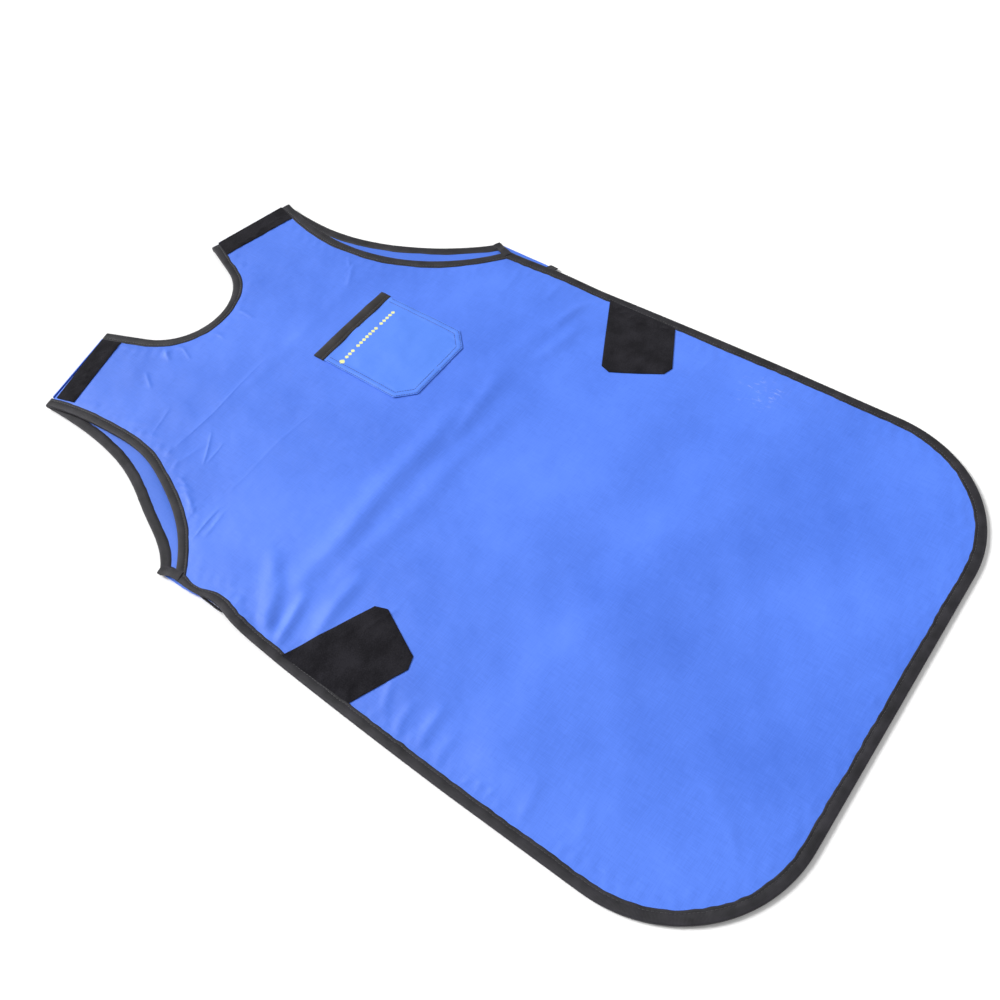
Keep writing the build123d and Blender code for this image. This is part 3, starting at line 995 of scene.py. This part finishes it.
def shoulder_roll(name, side):
    """The cover cloth where it rolls over the shoulder, between the two tapes."""
    length = np.linalg.norm(yoke_shoulder - yoke_neck)
    along = np.arange(tape_width - 1, length - tape_width + 1, 3)
    lines = []
    turns = np.linspace(0, math.pi, 9)
    bulge = 1.1 if side > 0 else 2.3
    for turn in turns:
        inside_edge = 2.4 - bulge * math.sin(turn)
        flat = neck_tip + along[:, None] * along_shoulder + into_shoulder * inside_edge
        flat = flat * [side, 1]
        high = front_high(flat[:, 0], flat[:, 1]) - 0.3
        low = wing_floor(*(flat + into_shoulder * 9 * [side, 1]).T) + 0.25
        crumple = 0.10 * waves(flat[:, 0], flat[:, 1], 22, 51) * math.sin(turn)
        height = (high + low) / 2 + (high - low) / 2 * math.cos(turn) + crumple
        lines.append(np.column_stack([flat, height]))
    if side < 0:
        lines = lines[::-1]
    piece = ribbon(name + "_shoulder_roll", lines, 0.6, cover_material, 20)
    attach(piece, "bodice")
    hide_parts(name + "_shoulder_fold")
    return piece


def side_seam(name, side):
    """The taped seam between the back wing's edge and the front's, with its tape's end turned in below."""
    y = np.arange(seam_foot[1] - 3, seam_top[1] - 1, 2.2)
    turned_end = 1 - ramp(y, seam_foot[1] + 8, seam_foot[1] + 10)
    buckle = 0.6 * np.sin(y / 7.5) + 0.3 * np.sin(y / 3.4 + side)
    edge = on_side(np.column_stack([np.full(len(y), seam_top[0] - 6.8), y]), side)[:, 0]
    front = on_side(np.column_stack([np.full(len(y), underarm[0] - 1.0), y]), side, 0)[:, 0]
    foot = wing_top(edge, y) + 0.1
    lines = []
    for share in np.linspace(0, 1, 9):
        across = edge + 7.6 * turned_end * (1 - share) * (side > 0)
        x = across + (front - across) * share
        upper = front_low(front, y) + (1.9 if side > 0 else -0.7)
        arch = math.sin(math.pi * share) * (0.6 + 0.3 * buckle + 1.6 * turned_end)
        height = foot + (upper - foot) * share + (arch if side > 0 else 0.3 * arch)
        lines.append(np.column_stack([x + side * 0.4 * buckle * share, y, height]))
    if side > 0:
        lines = lines[::-1]
    piece = ribbon(name + "_side_seam_tape", lines, 0.9, tape_material, 11)
    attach(piece, "bodice")
    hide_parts(name + "_side_seam")
    return piece


def underarm_tack(name, side):
    """The short folded tape that joins the back's and the front's bindings under the arm."""
    back_end = on_side(np.array([seam_top + [-4.5, 3.5]]), side)[0]
    front_end = on_side(np.array([underarm + [-5.5, -3.0]]), side, 0)[0]
    shares = np.linspace(0.0, 1.06, 13)
    middle = back_end + (front_end - back_end) * shares[:, None]
    beside = turned(unit(front_end - back_end))
    back_z = wing_top(back_end[:1], back_end[1:])[0] + 0.75
    front_z = front_high(front_end[:1], front_end[1:])[0] + 0.75
    height = back_z + (front_z - back_z) * ramp(shares, 0.1, 0.75)
    lines = []
    for across in np.linspace(-1, 1, 7):
        flat = middle + beside * across * (5.2 + 0.5 * np.sin(shares[:, None] * 9))
        lines.append(np.column_stack([flat, height + 0.7 * (1 - across**2) + 0.15 * np.sin(shares * 14)]))
    piece = ribbon(name + "_underarm_tack", lines, 0.8, tape_material, 11)
    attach(piece, "bodice")
    return piece


# ---------------------------------------------------------------- loop tape on the front
def laid_patch(name, node, outline):
    """A sewn-on patch that follows the cover, with a rounded rim, pile and a row of stitches."""
    flat, faces, rim = patch_plan(outline, PATCH_STEP)
    base = cover_top(flat) + 0.15
    pile = pile_ridges(flat[:, 0], flat[:, 1])
    groove = 0.22 * ridge(rim, 2.6, 0.9)
    top = base + patch_height * (0.55 + 0.45 * ramp(rim, 0, 1.6)) + pile * ramp(rim, 0.5, 2.5) - groove
    piece = slab(name, flat, faces, base, top, loop_material)
    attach(piece, "bodice")
    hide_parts(node)
    return piece


def pile_ridges(x, y):
    return 0.10 * waves(x, y, 6, 61) + 0.06 * np.sin(x * 2.1) * np.sin(y * 2.3)


patch_width = 79.5
patches = {  # middle of the inner end, slope in degrees, cut corners
    "left": ((200.3, -91.5), 28.6, 9), "right": ((202.8, -82), 25.2, 10),
}
patch_height = corner_mm("left_waist_patch", 1, 2) - corner_mm("left_waist_patch", 0, 2)
patch_reach = 120


def waist_patch(name, side):
    patch_end, slope, patch_corner = patches[name]
    u = heading_of(slope)
    v = np.array([-u[1], u[0]])
    half = patch_width / 2
    corners = [
        (0, half - patch_corner), (patch_corner, half), (patch_reach, half), (patch_reach, -half),
        (patch_corner, -half), (0, patch_corner - half),
    ]
    outline = np.array([np.array(patch_end) + u * a + v * b for a, b in corners])
    limit = side_middle[0] - 8.5
    top_share = (limit - outline[1, 0]) / (outline[2, 0] - outline[1, 0])
    low_share = (limit - outline[4, 0]) / (outline[3, 0] - outline[4, 0])
    outline[2] = outline[1] + (outline[2] - outline[1]) * top_share
    outline[3] = outline[4] + (outline[3] - outline[4]) * low_share
    outline[2:4, 0] = np.minimum(outline[2:4, 0], limit)
    outline = outline if side > 0 else flip(outline)
    return laid_patch(name + "_waist_loop", name + "_waist_patch", outline)


def shoulder_loop(name, side):
    if side > 0:
        corners = [(11.2, 0.2), (111, 0.2), (109.6, 30.5), (8.2, 29)]
    else:
        corners = [(12.1, 2.4), (111, 7.6), (109.6, 32.6), (8.9, 29.6)]
    outline = np.array([neck_tip + along_shoulder * a + into_shoulder * b for a, b in corners])
    outline = outline if side > 0 else flip(outline)
    return laid_patch(name + "_shoulder_loop", name + "_shoulder_strip", outline)


# ---------------------------------------------------------------- back wings
def back_layers(name, side):
    """Cover and lining of one back wing with its yoke, in one piece each."""
    loop = softened(on_side(looped(back_path), side), STEP, 1)[:-1]
    loop = inset(loop, edge_inset)
    hinge_length = np.linalg.norm(hinge_foot - yoke_neck)
    along, across = np.meshgrid(np.arange(6, hinge_length - 4, 6), np.arange(-6, 6.1, 1.5))
    rows = yoke_neck + along.reshape(-1, 1) * hinge_run + across.reshape(-1, 1) * hinge_inboard
    flat, faces = filled(loop, BACK_STEP, rows * [side, 1])
    made = []
    for part, bottom, top, material in (
        ("cover", 0, cloth, cover_material),
        ("lining", cloth + gap, wing_stack, lining_material),
    ):
        foot = wing_floor(flat[:, 0], flat[:, 1])
        piece = slab(name + "_back_" + part, flat, faces, foot + bottom, foot + top, material)
        across_hinge(piece)
        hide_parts(name + "_yoke_" + part, name + "_wing_" + part)
        made.append(piece)
    return made, area_of(back_path)


def wing_tapes(name, side):
    made = []
    for part, path, seed in (("neck", wing_neck_path, 71), ("strap", wing_strap_path, 73)):
        edge = softened(on_side(path, side))
        edge = closer(edge, np.abs((edge * [side, 1] - yoke_neck) @ hinge_inboard) < 9)
        run = tape_rings(edge, wing_floor, wing_top)
        piece = tape_piece(f"{name}_wing_{part}_tape", upside_down(run), seed=seed)
        across_hinge(piece)
        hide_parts(f"{name}_wing_{part}_binding")
        made.append(piece)
    return made


def hook_patch(name, wing):
    """The hook pad on the strap end's inner face, with its rows of hooks."""
    low, high = (np.array(corner[:2]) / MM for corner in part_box(name + "_hook_pad"))
    cut = 6
    outline = np.array([
        (low[0] + cut, high[1]), (high[0] - cut, high[1]), (high[0], high[1] - cut),
        (high[0], low[1] + cut), (high[0] - cut, low[1]), (low[0] + cut, low[1]),
        (low[0], low[1] + cut), (low[0], high[1] - cut),
    ])
    flat, faces, rim = patch_plan(outline, HOOK_STEP)
    base = wing_top(flat[:, 0], flat[:, 1])
    hooks = 0.22 * np.maximum(0, np.sin(flat[:, 0] * 2.1)) * np.maximum(0, np.sin(flat[:, 1] * 2.1))
    top = base + 0.6 + hooks * ramp(rim, 2, 3.5)
    piece = slab(name + "_hook_patch", flat, faces, base - 0.05, top, hook_material)
    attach(piece, wing)
    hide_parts(name + "_hook_pad")
    return piece


for name, side in SIDES:
    wing = name + "_wing"
    back, back_area = back_layers(name, side)
    tapes = wing_tapes(name, side)
    hooks = hook_patch(name, wing)
for name, side in SIDES:
    arm_tape(name, side, 80 + side)
    shoulder_roll(name, side)
    side_seam(name, side)
    underarm_tack(name, side)
    waist_patch(name, side)
    shoulder_loop(name, side)


# ---------------------------------------------------------------- chest pocket
pocket_shift = np.array([-3, -3])  # lying on its thin cloths, the pocket is lower than its CAD panel
pocket_low, pocket_high = (np.array(corner[:2]) / MM + pocket_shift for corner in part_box("pocket_panel"))
pocket_middle = (pocket_low[0] + pocket_high[0]) / 2
pocket_half_width = (pocket_high[0] - pocket_low[0]) / 2
pocket_corner = 20
pocket_cloth = 0.55
mouth_height = 16
pocket_rows = (1.5, 7.2)
POCKET_STITCH = {"radius": 0.32, "length": 2.5, "pitch": 3.0}


def pocket_shape(inset_by, count=24):
    """The sewn edge of the pocket, from its mouth down, along the bottom and up, moved inwards."""
    d = inset_by
    cut = pocket_corner + d * (math.sqrt(2) - 1)
    x0, x1 = pocket_low[0], pocket_high[0]
    y0, y1 = pocket_low[1], pocket_high[1] - 2
    corners = np.array([
        (x0 + d, y1), (x0 + d, y0 + cut), (x0 + cut, y0 + d), (pocket_middle, y0 + d),
        (x1 - cut, y0 + d), (x1 - d, y0 + cut), (x1 - d, y1),
    ])
    shares = np.linspace(0, 1, count)[:, None]
    runs = [a + (b - a) * shares for a, b in zip(corners[:-1], corners[1:], strict=True)]
    return joined(*runs)


sewn_edge = spaced(pocket_shape(0), 1)


def pocket_foot(x, y):
    """Height of the pocket cloth's underside: sewn down at its sides and bottom, slack at its mouth."""
    points = np.column_stack([x, y])
    up = np.clip((y - pocket_low[1]) / (pocket_high[1] - pocket_low[1]), 0, 1.1)
    out = (x - pocket_middle) / pocket_half_width
    slack = 0.9 * (1 - out**2) * (0.3 + 0.7 * up) * ramp(edge_distance(points, sewn_edge), 4, 26)
    mouth = 0.35 * ramp(y, pocket_high[1] - 24, pocket_high[1] - 9)
    return cover_top(points) + 0.4 + slack + mouth + 0.12 * (1 + waves(x, y, 30, 91))


def pocket_top(x, y):
    points = np.column_stack([x, y])
    away = edge_distance(points, sewn_edge)
    turned_under = 0.5 * (1 - ramp(away, 7.4, 9.4))
    rim = 0.35 * (1 - ramp(away, 0, 0.9))
    grooves = sum(0.5 * ridge(away, row, 0.95) for row in pocket_rows)
    pucker = 0.10 * waves(x, y, 8, 93) * (1 - ramp(away, 9, 18))
    below_tape = 1 - ramp(y, pocket_high[1] - mouth_height - 3, pocket_high[1] - mouth_height)
    return pocket_foot(x, y) + pocket_cloth + (turned_under - rim - grooves + pucker) * below_tape


def bows_open(piece):
    """Bakes the piece's transform into its mesh. On the real pocket the sides stay sewn down and the mouth's
    middle can bow out.
    """
    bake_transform(piece)


def pocket_half(name, side):
    """Half of the pocket, from one sewn side to its middle: cloth, mouth tape, stitching and print."""
    edge = pocket_low[0] if side < 0 else pocket_high[0]
    x0, x1 = sorted((edge, pocket_middle))
    y0, y1 = pocket_low[1], pocket_high[1]
    if side < 0:
        outline = [(x0, y1), (x1, y1), (x1, y0), (x0 + pocket_corner, y0), (x0, y0 + pocket_corner)]
    else:
        outline = [(x0, y1), (x1, y1), (x1, y0 + pocket_corner), (x1 - pocket_corner, y0), (x0, y0)]
    outline = np.array(outline, float)
    flat, faces = filled(spaced(looped(outline), 1.8)[:-1], PATCH_STEP)
    foot = pocket_foot(flat[:, 0], flat[:, 1])
    cloth_piece = slab(
        f"pocket_{name}_panel", flat, faces, foot, pocket_top(flat[:, 0], flat[:, 1]), pocket_material
    )
    mouth = line(np.array([x0 - 0.8 * (side < 0), y1 + 0.6]), np.array([x1 + 0.8 * (side > 0), y1 + 0.6]))

    def mouth_high(x, y):
        return pocket_foot(x, y) + pocket_cloth

    rings = tape_rings(spaced(mouth, 2), pocket_foot, mouth_high)
    tape_one = tape_piece(
        f"pocket_{name}_mouth_tape", rings, seed=95, wide=mouth_height / tape_width, material=mouth_material
    )
    stitches = []
    for row in pocket_rows:
        path = spaced(pocket_shape(row), 1.5)
        path = path[(path[:, 0] - pocket_middle) * side >= 0]
        path = path[path[:, 1] < y1 - mouth_height]
        centre = np.column_stack([path, pocket_top(path[:, 0], path[:, 1]) + 0.2])
        ups = np.tile([0, 0, 1.0], (len(path), 1))
        sides = unit(np.column_stack([turned(np.gradient(path, axis=0)), np.zeros(len(path))]))
        stitches.append(thread_run(centre, ups, sides, **POCKET_STITCH))
    offset = len(stitches[0][0])
    thread = closed(new_mesh(
        f"pocket_{name}_stitching",
        np.concatenate([stitches[0][0], stitches[1][0]]),
        stitches[0][1] + [tuple(offset + v for v in f) for f in stitches[1][1]],
        np.concatenate([stitches[0][2], stitches[1][2]]),
        [blue_thread_material],
    ))
    mark = printed_row(name, side)
    for piece, slot in (
        (cloth_piece, "cover_cloth"), (tape_one, "binding_tape"), (thread, "cover_cloth"), (mark, "mark")
    ):
        bows_open(piece)
    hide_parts("pocket_panel")
    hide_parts("pocket_mouth_binding")
    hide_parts("pocket_mark")
    return cloth_piece, [tape_one, thread, mark], area_of(outline)


def printed_row(name, side):
    """A plain row of lozenges printed under the mouth."""
    low, high = (np.array(corner[:2]) / MM + pocket_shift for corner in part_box("pocket_mark"))
    centre_y = (low[1] + high[1]) / 2 - 1
    pitch = (high[0] - low[0]) / 20
    slots = [0.6, 2.3, 3.4, 4.5, 6.4, 7.5, 8.6, 9.7, 10.8, 11.9, 13, 14.9, 16, 17.1, 18.2, 19.3]
    points, faces = [], []
    for at in slots:
        x = low[0] + at * pitch
        wide, tall = (3.6, 3.9) if at < 1 else (2.4, 2.7)
        if (x - pocket_middle) * side <= 0:
            continue
        base = len(points)
        angle = np.linspace(0, 2 * math.pi, 16, endpoint=False)
        shape = np.sign(np.cos(angle)) * np.abs(np.cos(angle)) ** 1.5 * wide + x
        rise = np.sign(np.sin(angle)) * np.abs(np.sin(angle)) ** 1.5 * tall + centre_y
        ring = np.column_stack([shape, rise])
        ring = np.concatenate([ring, [[x, centre_y]]])
        height = pocket_top(ring[:, 0], ring[:, 1])
        points.extend(np.column_stack([ring, height + 0.10]))
        points.extend(np.column_stack([ring, height - 0.04]))
        for k in range(16):
            after = (k + 1) % 16
            faces.append((base + k, base + after, base + 16))
            faces.append((base + 17 + after, base + 17 + k, base + 33))
            faces.append((base + after, base + k, base + 17 + k, base + 17 + after))
    points = np.array(points)
    return closed(new_mesh(f"pocket_{name}_print", points, faces, points[:, :2] * MM, [ink_material]))


pocket_pieces = [pocket_half("inner", -1), pocket_half("outer", 1)]

hem_lines = []
for inset_by in (0.9, 4.2, 7.4):
    flat = pocket_shape(inset_by)
    hem_lines.append(np.column_stack([flat, cover_top(flat) + 0.27]))
pocket_hem = ribbon("pocket_turned_hem", hem_lines, 0.24, pocket_material, 7)
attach(pocket_hem, "bodice")
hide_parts("pocket_seam")

# ---------------------------------------------------------------- floor, light and camera
floor_mesh = bpy.data.meshes.new("floor")
reach = 30.0
floor_mesh.from_pydata(
    [(-reach, -reach, 0), (reach, -reach, 0), (reach, reach, 0), (-reach, reach, 0)], [], [(0, 1, 2, 3)]
)
floor = placed("floor", floor_mesh)
paper = Shading("white_paper", 0.9, specular=0.0)
paper.set("Base Color", (0.96, 0.96, 0.96, 1))
floor_mesh.materials.append(paper.material)

world = bpy.data.worlds.new("studio")
bpy.context.scene.world = world
world.use_nodes = True
background = world.node_tree.nodes["Background"]
background.inputs["Color"].default_value = (1, 1, 1, 1)
background.inputs["Strength"].default_value = 0.34


def lamp(name, energy, angle, azimuth, elevation):
    """A broad soft light that shines from that direction; azimuth 0 is +X and 90 is +Y."""
    light = bpy.data.lights.new(name, "SUN")
    light.energy = energy
    light.angle = math.radians(angle)
    holder = placed(name, light)
    a, e = math.radians(azimuth), math.radians(elevation)
    back = Vector((math.cos(a) * math.cos(e), math.sin(a) * math.cos(e), math.sin(e)))
    holder.rotation_euler = back.to_track_quat("Z", "Y").to_euler()


lamp("window_light", 3.72, 24, 104, 38)
softbox = bpy.data.lights.new("softbox", "AREA")
softbox.shape = "RECTANGLE"
softbox.size, softbox.size_y = 0.9, 0.6
softbox.energy = 1.7
softbox_place = placed("softbox", softbox)
softbox_place.location = (0.2, -0.35, 1.2)
softbox_aim = softbox_place.location - Vector((0.1, -0.2, 0))
softbox_place.rotation_euler = softbox_aim.to_track_quat("Z", "Y").to_euler()
lamp("fill_light", 0.25, 60, 250, 60)

camera_azimuth, camera_elevation, camera_roll = (math.radians(v) for v in (-45.12, 54.48, -9.449))
camera_distance = 1.092
camera_target = Vector((-0.0191, -0.0633, 0.0006))
back = Vector(
    (
        math.sin(camera_azimuth) * math.cos(camera_elevation),
        -math.cos(camera_azimuth) * math.cos(camera_elevation),
        math.sin(camera_elevation),
    )
)
right = Vector((math.cos(camera_azimuth), math.sin(camera_azimuth), 0))
up = back.cross(right)
turned_right = right * math.cos(camera_roll) + up * math.sin(camera_roll)
turned_up = up * math.cos(camera_roll) - right * math.sin(camera_roll)
camera_data = bpy.data.cameras.new("camera")
camera_data.lens = 37.15
camera_data.sensor_width = 36
camera = placed("camera", camera_data)
pose = Matrix((turned_right, turned_up, back)).transposed().to_4x4()
pose.translation = camera_target + back * camera_distance
camera.matrix_world = pose
bpy.context.scene.camera = camera
bpy.context.scene.view_settings.view_transform = "Standard"
bpy.context.scene.view_settings.look = "None"
